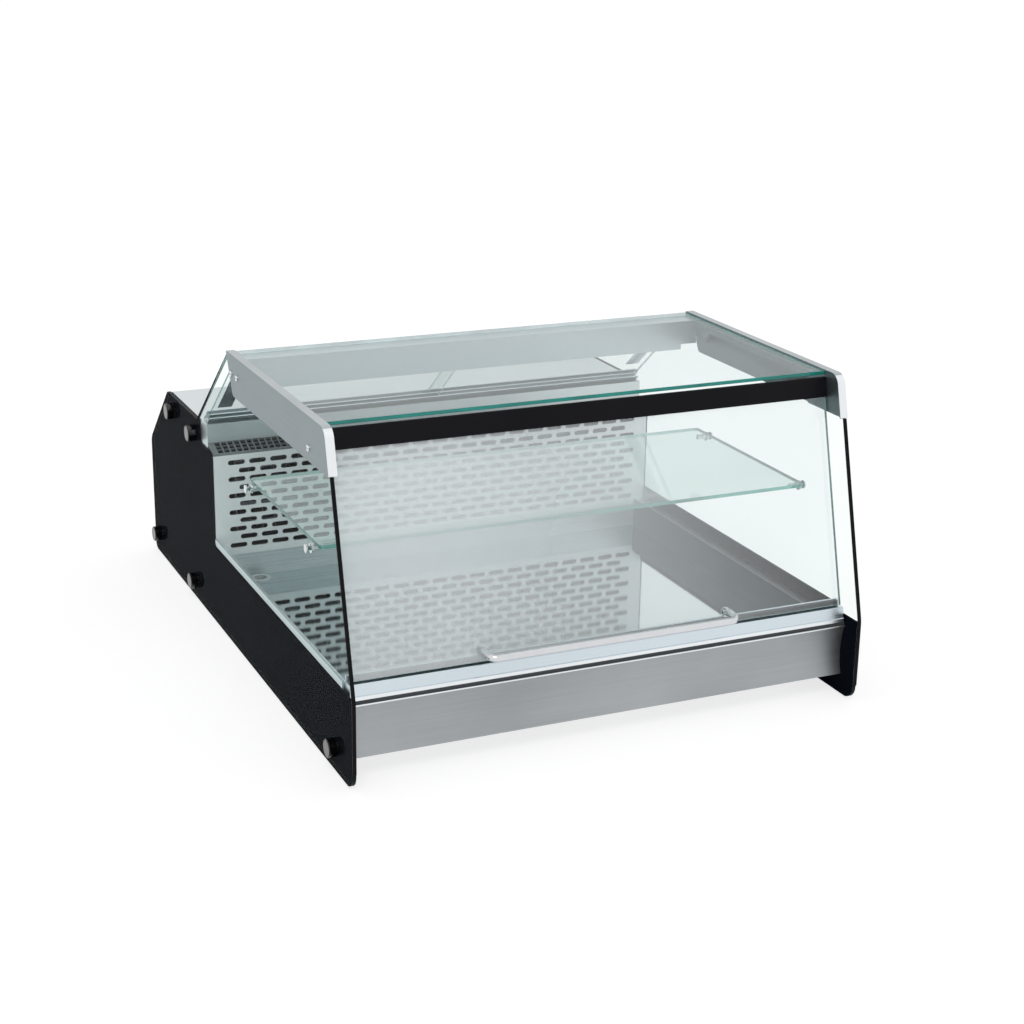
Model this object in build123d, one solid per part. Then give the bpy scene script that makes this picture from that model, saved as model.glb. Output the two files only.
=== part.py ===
from build123d import *
import math
import os

os.makedirs("parts", exist_ok=True)

# A countertop refrigerated display case. X runs to the right, the customer's side faces -Y and Z
# is up. The origin is on the counter, under the middle of the case. All sizes are millimetres.

# Outline of a side pane, as seen from the side
case_width = 750.0
case_depth = 1000.0
top_level = 455.0
knee_level = 123.0
nose_back = 86.0
rear_top_y = 17.0
notch_y = 201.0
deck_level = 307.0
tip_y = 377.0
rear_knee_level = 198.0
pane_lift = 3.0

# Stock
glass = 5.0
sheet = 1.5
thin_sheet = 1.2
enamel = 0.3
trim = 2.0
door_glass = 4.0
seat_gap = 0.3

# Enamel zones
band_level = 123.0
step_level = 269.0
rear_zone_y = 137.0

# Top frame
frame_wall = 2.0
frame_leg = 5.0
frame_drop = 60.0
nose_radius = 18.0
front_recess = 32.0
rail_depth = 38.0
rail_drop = 36.0

# Well and base
well_floor = 67.0
well_top = 113.0
well_half = 350.0
well_front = -440.0
base_level = 22.0
front_base_level = 33.5
foam_half = 361.0
chamber_rear = 214.0
bulkhead = 30.0

drain_x = -305.0
drain_y = 119.0
drain_ring = 16.0

# Front panel and sill
panel_front = -469.0
panel_top = 107.0
panel_hollow = 7.0
sill_top = 134.0

# Front glass and its hinge
pane_half = 363.0
pane_low_level = 137.0
profile_low = 36.0
profile_high = 8.0
groove_end = 21.0
profile_back = 13.0
profile_front = 2.0
hinge_down = 15.0
hinge_in = 5.0
pin_radius = 3.0
running_gap = 0.05

# Handle
handle_half = 182.0
handle_reach = 26.0
handle_radius = 5.0
handle_above_edge = 14.0
handle_drop = 8.0
handle_root = 7.0

# Shelf
shelf_half = 364.0
shelf_front = -352.0
shelf_rear = -39.0
shelf_level = 282.0

# Perforated panel
slot_rows = 11
slot_count = 21
slot_pitch = 33.25
slot_length = 26.5
slot_height = 7.5
row_pitch = 13.25
panel_low = 104.0
panel_high = 264.0

# Stand-off bolts, as (y, z) on a side pane
bolt_places = [(351.0, 281.0), (224.5, 279.0), (470.0, 36.5), (242.0, 31.0), (-428.0, 34.0)]
bolt_cap_radius = 12.5
bolt_cap_height = 11.0
bolt_radius = 4.0
weld_nut_radius = 7.5
weld_nut = 6.5

# Screws of the top frame, as (y, z)
frame_screw_places = [(-8.0, 428.5), (-36.0, 428.5), (-352.0, 414.5)]

# Shelf supports, as (y, z)
support_radius = 4.0
support_places = [(-330.0, shelf_level - glass - support_radius), (-60.0, shelf_level - glass - support_radius)]

# Values worked out from the sizes above
half_width = case_width / 2
half_depth = case_depth / 2
inner_half = half_width - glass
plate_half = inner_half - enamel
casing_half = plate_half - sheet
nose_y = nose_back - half_depth
slope = nose_back / (top_level - knee_level)
lean = math.atan(slope)
glass_front_y = nose_y + front_recess
frame_half = inner_half - frame_leg
pane_under = top_level - glass


def front_edge_y(level):
    """Place of the side pane's leaning front edge at a height."""
    return nose_y - slope * (top_level - level)


def block(x0, x1, y0, y1, z0, z1):
    """A plain block between two corners."""
    middle = Pos((x0 + x1) / 2, (y0 + y1) / 2, (z0 + z1) / 2)
    return middle * Box(x1 - x0, y1 - y0, z1 - z0)


def rounded_face(corners):
    """A flat face from (a, b, radius) corners."""
    face = make_face(Polyline(*[(a, b) for a, b, radius in corners], close=True))
    for a, b, radius in corners:
        if radius:
            corner = face.vertices().sort_by_distance(Vector(a, b, 0))[0]
            face = fillet(corner, radius)
    return face


def side_plate(corners, x0, x1):
    """A plate across X whose outline is given as (y, z, radius)."""
    return extrude(Plane.YZ.offset(x0) * rounded_face(corners), x1 - x0)


def rod_x(radius, x0, x1, y, z):
    return Pos((x0 + x1) / 2, y, z) * Rot(0, 90, 0) * Cylinder(radius, x1 - x0)


def rod_y(radius, y0, y1, x, z):
    return Pos(x, (y0 + y1) / 2, z) * Rot(90, 0, 0) * Cylinder(radius, y1 - y0)


def rod_z(radius, z0, z1, x, y):
    return Pos(x, y, (z0 + z1) / 2) * Cylinder(radius, z1 - z0)


def tube_along(points, radius, bend):
    """A round bar or pipe along points, with bent corners."""
    path = FilletPolyline(*points, radius=bend)
    return sweep(Plane(origin=path @ 0, z_dir=path % 0) * Circle(radius), path)


def both_sides(shape):
    return shape + mirror(shape, about=Plane.YZ)


def pair(shape):
    """A left piece and its mirror image, as two solids of one node."""
    return Compound(children=[shape.solid(), mirror(shape, about=Plane.YZ).solid()])


def save(shape, name):
    export_step(shape, f"parts/{name}.step")


def save_pair(shape, name):
    """Writes a left piece and its mirror image on the right."""
    save(shape, f"left_{name}")
    save(mirror(shape, about=Plane.YZ), f"right_{name}")


# Front glass frame: x along the case, y up the pane, z out of its front face
front_plane = Plane(
    origin=(0, glass_front_y, top_level),
    x_dir=(1, 0, 0),
    z_dir=(0, -math.cos(lean), math.sin(lean)),
)
pane_low = -(top_level - pane_low_level) / math.cos(lean)
hinge_point = front_plane.from_local_coords(Vector(0, -hinge_down, -hinge_in))
hinge_y = hinge_point.Y
hinge_z = hinge_point.Z

# Door frame: x along the case, y down the slope, z out towards the shopkeeper
door_run = math.hypot(notch_y - rear_top_y, top_level - deck_level)
door_out = ((top_level - deck_level) / door_run, (notch_y - rear_top_y) / door_run)
door_plane = Plane(
    origin=(0, notch_y, deck_level),
    x_dir=(1, 0, 0),
    z_dir=(0, door_out[0], door_out[1]),
)
track_wall = 1.5
track_slot = door_glass + 1.0
track_first = 2.0
outer_door_in = track_first + track_wall + 0.5
inner_door_in = outer_door_in + track_slot + track_wall
track_in = track_first + 3 * track_wall + 2 * track_slot
door_low = 25.0
door_high = 212.0
low_slot_end = 34.0
high_slot_start = 206.0
high_slot_end = 217.0


def outline_corners(front_inset, top_inset):
    """Corners of the side pane, drawn in from its front and top edges."""
    front = -half_depth + front_inset
    top = top_level - top_inset
    return [
        (front, pane_lift, 20.0),
        (half_depth, pane_lift, 12.0),
        (half_depth, rear_knee_level, 25.0),
        (tip_y, deck_level, 8.0),
        (notch_y, deck_level, 6.0),
        (rear_top_y, top, 0),
        (nose_y + front_inset, top, nose_radius - frame_wall),
        (front, knee_level, 60.0),
    ]


def pane_blank():
    return side_plate(outline_corners(trim, 1.0), -half_width, -inner_half)


def side_glass():
    pane = pane_blank()
    for y, z in bolt_places:
        pane -= rod_x(bolt_radius + 1, -half_width - 1, -inner_half + 1, y, z)
    for y, z in frame_screw_places:
        pane -= rod_x(3.5, -half_width - 1, -inner_half + 1, y, z)
    for y, z in support_places:
        pane -= rod_x(3.0, -half_width - 1, -inner_half + 1, y, z)
    return pane


def edge_trim():
    """Black strip on the leaning front edge of a side pane."""
    strip = side_plate(outline_corners(0, 0), -half_width, -inner_half) - pane_blank()
    return strip & block(-half_width, -inner_half, -half_depth - 1, -400, 26, top_level - frame_drop + 2)


def enamel_layer():
    """Black printing on the inside of a side pane."""
    zone = [
        (-half_depth - 10, 0, 0),
        (half_depth + 10, 0, 0),
        (half_depth + 10, deck_level + 5, 0),
        (notch_y + 3, deck_level + 5, 0),
        (notch_y + 3, step_level, 8.0),
        (rear_zone_y, step_level, 10.0),
        (rear_zone_y, band_level, 8.0),
        (-half_depth - 10, band_level, 0),
    ]
    layer = side_plate(outline_corners(trim, 1.0), -inner_half, -plate_half)
    layer &= side_plate(zone, -inner_half, -plate_half)
    for y, z in bolt_places:
        layer -= rod_x(bolt_radius + 1, -inner_half - 1, -plate_half + 1, y, z)
    return layer


def casing_side():
    """Painted steel side of the casing with its weld nuts, hidden by the enamel."""
    front = well_front + 1
    corners = [
        (front, base_level, 0),
        (half_depth - 5, base_level, 0),
        (half_depth - 5, rear_knee_level - 2, 0),
        (tip_y - 3, deck_level - sheet, 0),
        (notch_y + 6, deck_level - sheet, 0),
        (notch_y + 6, step_level - 3, 0),
        (rear_zone_y + 3, step_level - 3, 0),
        (rear_zone_y + 3, well_top - 1, 0),
        (front, well_top - 1, 0),
    ]
    plate = side_plate(corners, -plate_half, -casing_half)
    for y, z in bolt_places:
        plate += rod_x(weld_nut_radius, -casing_half, -casing_half + weld_nut, y, z)
        plate -= rod_x(bolt_radius, -plate_half - 1, -casing_half + weld_nut + 1, y, z)
    return plate


def standoff_bolts():
    bolts = []
    for y, z in bolt_places:
        cap = rod_x(bolt_cap_radius, -half_width - bolt_cap_height, -half_width, y, z)
        cap = chamfer(cap.edges().group_by(Axis.X)[0], 1.2)
        bolts.append(cap + rod_x(bolt_radius, -half_width, -casing_half + weld_nut, y, z))
    bolts += [mirror(bolt, about=Plane.YZ) for bolt in bolts]
    return Compound(children=[bolt.solid() for bolt in bolts])


def seat_profiles():
    """Bright strips along the inside of the side panes, over the well."""
    strip = block(-plate_half, -plate_half + 3, well_front - 8, rear_zone_y, well_top, band_level + 10)
    return pair(strip)


def top_frame():
    """Left half of the aluminium frame that caps the side pane and carries the top glass."""
    low = top_level + frame_wall - frame_drop
    outside = [
        (rear_top_y, top_level + frame_wall, 2.0),
        (-12.0, low, 8.0),
        (front_edge_y(low), low, 2.0),
        (front_edge_y(top_level + frame_wall), top_level + frame_wall, nose_radius),
    ]
    inside = [
        (rear_top_y + 20, top_level, 0),
        (rear_top_y + 20, low - 10, 0),
        (front_edge_y(low - 10) + frame_wall, low - 10, 0),
        (front_edge_y(top_level) + frame_wall, top_level, nose_radius - frame_wall),
    ]
    cap = side_plate(outside, -half_width - frame_wall, -frame_half)
    cap -= side_plate(inside, -half_width, -frame_half + 1)
    leg = [
        (rear_top_y - 2, top_level, 0),
        (rear_top_y - 2, 420.0, 0),
        (-50.0, 420.0, 0),
        (-60.0, 437.0, 0),
        (-335.0, 437.0, 0),
        (-345.0, 400.0, 0),
        (front_edge_y(400.0) + frame_wall, 400.0, 0),
        (front_edge_y(top_level) + frame_wall, top_level, nose_radius - frame_wall),
    ]
    frame = cap + side_plate(leg, -inner_half, -frame_half)
    ledge_end = rear_top_y - rail_depth - 1
    frame += block(-frame_half, -frame_half + 8, -362, ledge_end, pane_under - 2, pane_under)
    for y, z in frame_screw_places:
        frame -= rod_x(2.5, -half_width - 3, -frame_half + 1, y, z)
    frame -= rod_x(pin_radius, -inner_half - 1, -frame_half + 1, hinge_y, hinge_z)
    return frame


def frame_screws():
    screws = []
    for y, z in frame_screw_places:
        head = rod_x(4.5, -half_width - frame_wall - 2, -half_width - frame_wall, y, z)
        head = fillet(head.edges().group_by(Axis.X)[0], 1.0)
        head -= block(-half_width - 6, -half_width - frame_wall - 1, y - 4, y + 4, z - 0.6, z + 0.6)
        reach = -frame_half + 10 if y > -100 else -frame_half
        screws.append(head + rod_x(2.5, -half_width - frame_wall, reach, y, z))
    screws += [mirror(screw, about=Plane.YZ) for screw in screws]
    return Compound(children=[screw.solid() for screw in screws])


def hinge_pins():
    pin = rod_x(pin_radius, -inner_half, -frame_half + 12, hinge_y, hinge_z)
    return pair(pin)


def front_glass():
    span = -groove_end - pane_low
    pane = Pos(0, pane_low + span / 2, -glass / 2) * Box(2 * pane_half, span, glass)
    pane = chamfer(pane.edges().filter_by(Axis.X), 0.4)
    for x in (-handle_half, handle_half):
        pane -= Pos(x, pane_low + handle_above_edge, -glass / 2) * Cylinder(3.5, glass + 2)
    return front_plane * pane


def hinge_profile():
    """Black profile that grips the top of the front glass and turns on the pins."""
    section = make_face(
        Polyline(
            (profile_front - 1.5, -profile_high),
            (profile_front, -profile_high - 1.5),
            (profile_front, -profile_low),
            (0, -profile_low),
            (0, -groove_end),
            (-glass, -groove_end),
            (-glass, -profile_low),
            (-glass - 2.5, -profile_low),
            (-glass - 4, -24.0),
            (-profile_back, -22.0),
            (-profile_back, -profile_high),
            close=True,
        )
    )
    ends = Plane(
        origin=front_plane.origin + Vector(frame_half - 1, 0, 0),
        x_dir=front_plane.z_dir,
        z_dir=(-1, 0, 0),
    )
    profile = extrude(ends * section, 2 * (frame_half - 1))
    bore = rod_x(pin_radius + running_gap, -frame_half, -frame_half + 13, hinge_y, hinge_z)
    return profile - both_sides(bore)


def handle():
    base = pane_low + handle_above_edge
    points = [
        (-handle_half, base, 0),
        (-handle_half, base, handle_root),
        (-handle_half, base - handle_drop, handle_reach),
        (handle_half, base - handle_drop, handle_reach),
        (handle_half, base, handle_root),
        (handle_half, base, 0),
    ]
    return front_plane * tube_along(points, handle_radius, 10.0)


def handle_fixings():
    """Screws and washers on the inside of the front glass, into the handle's feet."""
    base = pane_low + handle_above_edge
    screws = []
    for x in (-handle_half, handle_half):
        washer = Pos(x, base, -glass - 1.0) * Cylinder(7.0, 2.0)
        head = Pos(x, base, -glass - 3.5) * Cylinder(5.0, 3.0)
        shank = Pos(x, base, -glass / 2) * Cylinder(3.0, glass)
        screws.append(front_plane * (washer + head + shank))
    return Compound(children=[screw.solid() for screw in screws])


def top_glass():
    pane = block(-frame_half + 0.3, frame_half - 0.3, glass_front_y, rear_top_y - 2, pane_under, top_level)
    return chamfer(pane.edges().filter_by(Axis.X), 0.5)


def track_blank(start, end):
    """Slanted bar that holds both door slots, between two places up the slope."""
    return door_plane * (
        Pos(0, -(start + end) / 2, -(track_first + track_in) / 2)
        * Box(2 * frame_half, end - start, track_in - track_first)
    )


def track_slots(start, end):
    slots = None
    for depth in (outer_door_in, inner_door_in):
        slot = Pos(0, -(start + end) / 2, -depth - door_glass / 2) * Box(2 * half_width, end - start, track_slot)
        slots = slot if slots is None else slots + slot
    return door_plane * slots


def rear_rail():
    """Rear top rail: it carries the top glass, the lamp and the upper door slots."""
    rail = block(-frame_half, frame_half, rear_top_y - rail_depth, rear_top_y - 1, pane_under - rail_drop, pane_under)
    rail -= block(-frame_half - 1, frame_half + 1, rear_top_y - rail_depth + 3, rear_top_y - 8,
                  pane_under - rail_drop + 3, pane_under - 3)
    rail += track_blank(high_slot_start, high_slot_end + 8) & block(-400, 400, 0, 100, 380, pane_under)
    rail -= track_slots(high_slot_start - 1, high_slot_end)
    for y, z in frame_screw_places:
        if y > -100:
            rail -= both_sides(rod_x(2.5, -frame_half - 1, -frame_half + 11, y, z))
    return rail


def lower_track():
    track = track_blank(-20, low_slot_end) & block(-400, 400, 100, 250, deck_level, 400)
    return track - track_slots(door_low - seat_gap, low_slot_end + 1)


def door(depth, x0, x1):
    span = door_high - door_low
    pane = Pos((x0 + x1) / 2, -(door_low + door_high) / 2, -depth - door_glass / 2)
    return door_plane * (pane * Box(x1 - x0, span, door_glass))


def door_pull(depth, x):
    """Thin finger strip with a turned edge on the outer face of a door."""
    middle = (low_slot_end + high_slot_start) / 2
    plate = Pos(x, -middle, -depth + 0.7) * Box(22, 120, 1.4)
    ridge = Pos(x, -middle, -depth + 0.95) * Box(3, 120, 1.9)
    return door_plane * (plate + ridge)


def lamp_channel():
    low = pane_under - rail_drop
    channel = block(-340, 340, rear_top_y - 35, rear_top_y - 13, low - 9, low)
    return channel - block(-338, 338, rear_top_y - 33, rear_top_y - 15, low - 10, low - 2)


def lamp_diffuser():
    low = pane_under - rail_drop
    return block(-338, 338, rear_top_y - 33, rear_top_y - 15, low - 9, low - 7)


def shelf():
    pane = block(-shelf_half, shelf_half, shelf_front, shelf_rear, shelf_level - glass, shelf_level)
    pane = fillet(pane.edges().filter_by(Axis.Z), 6.0)
    return chamfer(pane.edges().group_by(Axis.Z)[-1], 0.4)


def shelf_supports():
    pegs = []
    for y, z in support_places:
        peg = rod_x(6.0, -half_width - 2, -half_width, y, z)
        peg += rod_x(3.0, -half_width, -inner_half, y, z)
        peg += rod_x(7.0, -inner_half, -inner_half + 3, y, z)
        peg += rod_x(support_radius, -inner_half + 3, -inner_half + 17, y, z)
        pegs.append(peg)
    pegs += [mirror(peg, about=Plane.YZ) for peg in pegs]
    return Compound(children=[peg.solid() for peg in pegs])


def front_panel():
    """Stainless front panel, slightly hollow, with a return along its top and bottom."""
    middle = (panel_top + front_base_level) / 2
    low = front_base_level - thin_sheet
    outer = make_face(
        ThreePointArc((panel_front, panel_top), (panel_front + panel_hollow, middle), (panel_front + 2, low))
        + Line((panel_front + 2, low), (panel_front + 29, low))
        + Line((panel_front + 29, low), (panel_front + 29, panel_top))
        + Line((panel_front + 29, panel_top), (panel_front, panel_top))
    )
    t = thin_sheet
    inner = make_face(
        ThreePointArc(
            (panel_front + t, panel_top - t),
            (panel_front + panel_hollow + t, middle),
            (panel_front + 2 + t, low + t),
        )
        + Line((panel_front + 2 + t, low + t), (panel_front + 40, low + t))
        + Line((panel_front + 40, low + t), (panel_front + 40, panel_top - t))
        + Line((panel_front + 40, panel_top - t), (panel_front + t, panel_top - t))
    )
    half = plate_half - 0.4
    panel = extrude(Plane.YZ.offset(-half) * (outer - inner), 2 * half)
    return panel - block(-400, 400, panel_front + 18, panel_front + 50, panel_top - 20, panel_top + 1)


def sill_seal():
    return block(-plate_half + 0.4, plate_half - 0.4, panel_front + 2, panel_front + 18, panel_top, well_top)


def front_sill():
    """Extruded sill in front of and under the front glass, with a stop lip behind it."""
    front = panel_front - 1
    corners = [
        (front, well_top, 0),
        (front, well_top + 5, 1.0),
        (front + 1.6, well_top + 5.6, 0),
        (front + 3.5, sill_top, 1.5),
        (-452.0, sill_top, 0),
        (-452.0, sill_top + 8, 0.8),
        (-449.0, sill_top + 8, 0.8),
        (-449.0, sill_top - 4, 0),
        (well_front + 2, sill_top - 8, 0),
        (well_front + 2, well_top, 0),
    ]
    half = plate_half - 0.4
    return side_plate(corners, -half + 3, half - 3)


def sill_gasket():
    return block(-pane_half, pane_half, -457.0, -452.0, sill_top, sill_top + 7)


def well_tub():
    """Stainless liner of the well; its floor runs on under the coil as the drip floor."""
    tub = block(-well_half - 1, well_half + 1, well_front - 1, chamber_rear, well_floor - 1, well_top)
    tub -= block(-well_half, well_half, well_front, chamber_rear - 1, well_floor, well_top + 1)
    tub -= block(-400, 400, rear_zone_y, chamber_rear + 5, panel_low, well_top + 1)
    tub += block(-well_half - 1, well_half + 1, rear_zone_y, rear_zone_y + 1, well_floor - 1, panel_low)
    flange = block(-plate_half + 3, -well_half - 1, well_front - 8, rear_zone_y, well_top - 1, well_top)
    tub += both_sides(flange)
    tub += block(-well_half - 1, well_half + 1, well_front - 9, well_front - 1, well_top - 1, well_top)
    seat = block(-plate_half, -plate_half + 3, well_front - 8, rear_zone_y, well_top - 1, well_top)
    tub += both_sides(seat)
    return tub - rod_z(12.0, well_floor - 5, well_floor + 5, drain_x, drain_y)


def tub_foam():
    foam = block(-foam_half, foam_half, -393.5, chamber_rear, base_level + sheet, well_top - 1)
    foam -= block(-well_half - 1, well_half + 1, -400, chamber_rear + 1, well_floor - 1, well_top + 1)
    foam -= block(-400, 400, rear_zone_y, chamber_rear + 1, panel_low, well_top + 1)
    return foam - rod_z(12.5, 0, well_floor, drain_x, drain_y)


def drain_fitting():
    body = rod_z(drain_ring, well_floor, well_floor + 1.5, drain_x, drain_y)
    body += rod_z(12.0, base_level - 10, well_floor, drain_x, drain_y)
    return body - rod_z(10.0, base_level - 8, well_floor + 3, drain_x, drain_y)


def base_tray():
    front = panel_front + 17
    low = base_level
    corners = [
        (front, front_base_level, 0),
        (-395.0, front_base_level, 0),
        (-395.0, low, 0),
        (half_depth - 5, low, 0),
        (half_depth - 5, low + sheet, 0),
        (-395.0 + sheet, low + sheet, 0),
        (-395.0 + sheet, front_base_level + sheet, 0),
        (front + sheet, front_base_level + sheet, 0),
        (front + sheet, front_base_level + 17, 0),
        (front, front_base_level + 17, 0),
    ]
    tray = side_plate(corners, -casing_half, casing_half)
    tray -= rod_z(12.5, 0, 60, drain_x, drain_y)
    y, z = bolt_places[-1]
    tray -= both_sides(rod_x(weld_nut_radius + 1, -casing_half - 1, -casing_half + weld_nut + 1, y, z))
    for x, y in foot_places:
        tray -= rod_z(3.0, low - 1, low + sheet + 1, x, y)
    return tray


foot_places = [(x, y) for x in (-310.0, 310.0) for y in (-330.0, 440.0)]


def feet():
    pads = []
    for x, y in foot_places:
        pad = Pos(x, y, base_level / 2) * Cone(17.0, 20.0, base_level)
        pad -= rod_z(3.0, base_level - 12, base_level + 1, x, y)
        pads.append(pad)
    return Compound(children=[pad.solid() for pad in pads])


def foot_screws():
    screws = []
    for x, y in foot_places:
        screw = rod_z(3.0, base_level - 12, base_level + sheet, x, y)
        if y > 0:
            screw += rod_z(6.0, base_level + sheet, base_level + sheet + 4, x, y)
        screws.append(screw.solid())
    return screws


def perforated_panel():
    """Back panel of the display space, with staggered air slots."""
    height = panel_high - panel_low
    face = Rectangle(2 * casing_half - 0.4, height)
    first = panel_high - 12.5 - (panel_high + panel_low) / 2
    slots = []
    for row in range(slot_rows):
        count = slot_count - row % 2
        centre = first - row * row_pitch
        for column in range(count):
            x = (column - (count - 1) / 2) * slot_pitch
            slots.append(Pos(x, centre) * SlotOverall(slot_length, slot_height))
    face = face - slots
    plane = Plane(
        origin=(0, rear_zone_y, (panel_high + panel_low) / 2), x_dir=(1, 0, 0), z_dir=(0, -1, 0)
    )
    panel = extrude(plane * face, -thin_sheet)
    half = casing_half - 0.2
    back = rear_zone_y + thin_sheet
    panel += block(-half, half, back, back + 3, panel_low, panel_low + thin_sheet)
    side = block(-half, -half + thin_sheet, back, back + 10, panel_low, panel_high)
    return panel + both_sides(side)


grille_rise = 11.0
lip_y = 165.0


def air_grille():
    """Slanted strip of square cells that the cold air leaves through."""
    run = lip_y - rear_zone_y
    length = math.hypot(run, grille_rise)
    plane = Plane(
        origin=(0, rear_zone_y + run / 2, panel_high + grille_rise / 2),
        x_dir=(1, 0, 0),
        z_dir=(0, -grille_rise / length, run / length),
    )
    face = Rectangle(2 * casing_half - 0.4, length)
    cells = [Pos(x, y) * Rectangle(8, 8) for x in [(i - 35.5) * 10 for i in range(72)] for y in (-7.5, 1.5, 10.5)]
    grille = extrude(plane * (face - cells), 3.0)
    return grille & block(-400, 400, rear_zone_y, lip_y - 0.1, panel_high, 300)


def housing_deck():
    """Stainless top of the rear housing, with a lip over the air grille."""
    half = casing_half
    deck = block(-half, half, lip_y, tip_y - 5, deck_level - sheet, deck_level)
    deck += block(-half, half, lip_y, lip_y + sheet, panel_high + grille_rise, deck_level - sheet)
    side = block(-half, -half + sheet, lip_y, notch_y + 5, step_level - 3, deck_level - sheet)
    return deck + both_sides(side)


def deck_foam():
    return block(-foam_half + 1, foam_half - 1, lip_y + sheet, chamber_rear + bulkhead,
                 deck_level - sheet - 20, deck_level - sheet)


def bulkhead_panel():
    """Insulated wall between the cold chamber and the machine space."""
    wall = block(-casing_half + 0.2, casing_half - 0.2, chamber_rear, chamber_rear + bulkhead,
                 base_level + sheet, deck_level - sheet - 20)
    for y, z in bolt_places:
        if chamber_rear - 20 < y < chamber_rear + bulkhead + 10:
            wall -= both_sides(rod_x(weld_nut_radius + 1, -casing_half, -casing_half + weld_nut + 1, y, z))
    for x, z in pipe_passes:
        wall -= rod_y(6.0, chamber_rear - 1, chamber_rear + bulkhead + 1, x, z)
    return wall


pipe_passes = [(-345.0, 150.0), (-345.0, 235.0)]
coil_low = 130.0
coil_high = 250.0
coil_front = 150.0
coil_back = 206.0


def evaporator_coil():
    """Finned coil: tubes in two columns through upright fins, hung from the bulkhead."""
    coil = None
    for i in range(34):
        x = -330 + 20 * i
        fin = block(x - 0.5, x + 0.5, coil_front, coil_back, coil_low, coil_high)
        coil = fin if coil is None else coil + fin
    for y in (coil_front + 14, coil_back - 14):
        for k in range(4):
            coil += rod_x(4.5, -338, 338, y, coil_low + 15 + 30 * k)
    end = block(331.5, 333, coil_front - 2, chamber_rear, coil_low - 4, coil_high + 4)
    coil += both_sides(end)
    for k in range(4):
        z = coil_low + 15 + 30 * k
        link = block(-341, -336, coil_front + 10, coil_back - 10, z - 3, z + 3)
        coil += both_sides(link) if k % 2 else mirror(link, about=Plane.YZ)
    return coil


fan_places = [-170.0, 170.0]
fan_y = 176.0
fan_ring = 34.0
fan_deck = well_top + 1.5


def fan_plate():
    """Shelf under the coil that carries both cold air fans."""
    plate = block(-casing_half + 0.2, casing_half - 0.2, rear_zone_y + thin_sheet + 11, chamber_rear, well_top, fan_deck)
    for x in fan_places:
        plate -= rod_z(31.0, well_top - 1, fan_deck + 1, x, fan_y)
    return plate


def fan_frames():
    """Ring, arms and motor of each cold air fan."""
    frames = []
    for x in fan_places:
        ring = rod_z(fan_ring, 96, well_top, x, fan_y) - rod_z(31.0, 95, well_top + 1, x, fan_y)
        motor = rod_z(12.0, 78, 98, x, fan_y) + rod_z(2.0, 98, 108, x, fan_y)
        for k in range(3):
            arm = Pos(x, fan_y, 96.5) * Rot(0, 0, 120 * k) * Pos(21, 0, 0) * Box(24, 4, 3)
            motor += arm - rod_z(12.0, 90, 100, x, fan_y) if k < 0 else arm
        frames.append(ring + motor)
    return Compound(children=[frame.solid() for frame in frames])


def fan_rotor(x):
    hub = rod_z(12.0, 100, 111, x, fan_y) - rod_z(2.0 + running_gap, 99, 108.2, x, fan_y)
    for k in range(7):
        blade = Rot(0, 0, k * 360 / 7) * Pos(20, 0, 0) * Rot(35, 0, 0) * Box(17.5, 11, 1.2)
        hub += Pos(x, fan_y, 105.5) * blade
    return hub


compressor_x = -190.0
compressor_y = 372.0
compressor_level = 36.0


def compressor():
    """Sealed compressor on its foot plate, with the relay box at its side."""
    shell = rod_z(78.0, compressor_level + 12, compressor_level + 158, compressor_x, compressor_y)
    shell = fillet(shell.edges().filter_by(GeomType.CIRCLE), 28.0)
    shell += rod_z(82.0, compressor_level + 80, compressor_level + 84, compressor_x, compressor_y)
    plate = block(compressor_x - 95, compressor_x + 95, compressor_y - 62, compressor_y + 62,
                  compressor_level, compressor_level + 3)
    for x, y in grommet_places:
        plate -= rod_z(5.0, compressor_level - 1, compressor_level + 4, x, y)
    neck = rod_z(55.0, compressor_level + 3, compressor_level + 14, compressor_x, compressor_y)
    box = block(compressor_x + 70, compressor_x + 100, compressor_y - 28, compressor_y + 28,
                compressor_level + 50, compressor_level + 110)
    return shell + plate + neck + box


grommet_places = [
    (compressor_x + dx, compressor_y + dy) for dx in (-84.0, 84.0) for dy in (-50.0, 50.0)
]


def compressor_grommets():
    rubbers = []
    for x, y in grommet_places:
        rubber = rod_z(9.0, base_level + sheet, compressor_level, x, y)
        rubber += rod_z(5.0, compressor_level, compressor_level + 3, x, y)
        rubber += rod_z(8.0, compressor_level + 3, compressor_level + 6, x, y)
        rubbers.append(rubber)
    return Compound(children=[rubber.solid() for rubber in rubbers])


condenser_left = 40.0
condenser_right = 290.0
condenser_front = 285.0
condenser_back = 325.0
condenser_high = 240.0
condenser_fan_x = (condenser_left + condenser_right) / 2
condenser_fan_z = 138.0


def condenser_coil():
    coil = None
    low = base_level + sheet
    for i in range(16):
        x = condenser_left + 8 + 15.5 * i
        fin = block(x - 0.6, x + 0.6, condenser_front, condenser_back, low + 12, condenser_high)
        coil = fin if coil is None else coil + fin
    for k in range(6):
        coil += rod_x(4.5, condenser_left - 6, condenser_right + 6, condenser_front + 20, low + 35 + 32 * k)
    for x in (condenser_left, condenser_right):
        coil += block(x - 1, x + 1, condenser_front - 2, condenser_back, low, condenser_high + 4)
    return coil


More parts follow.
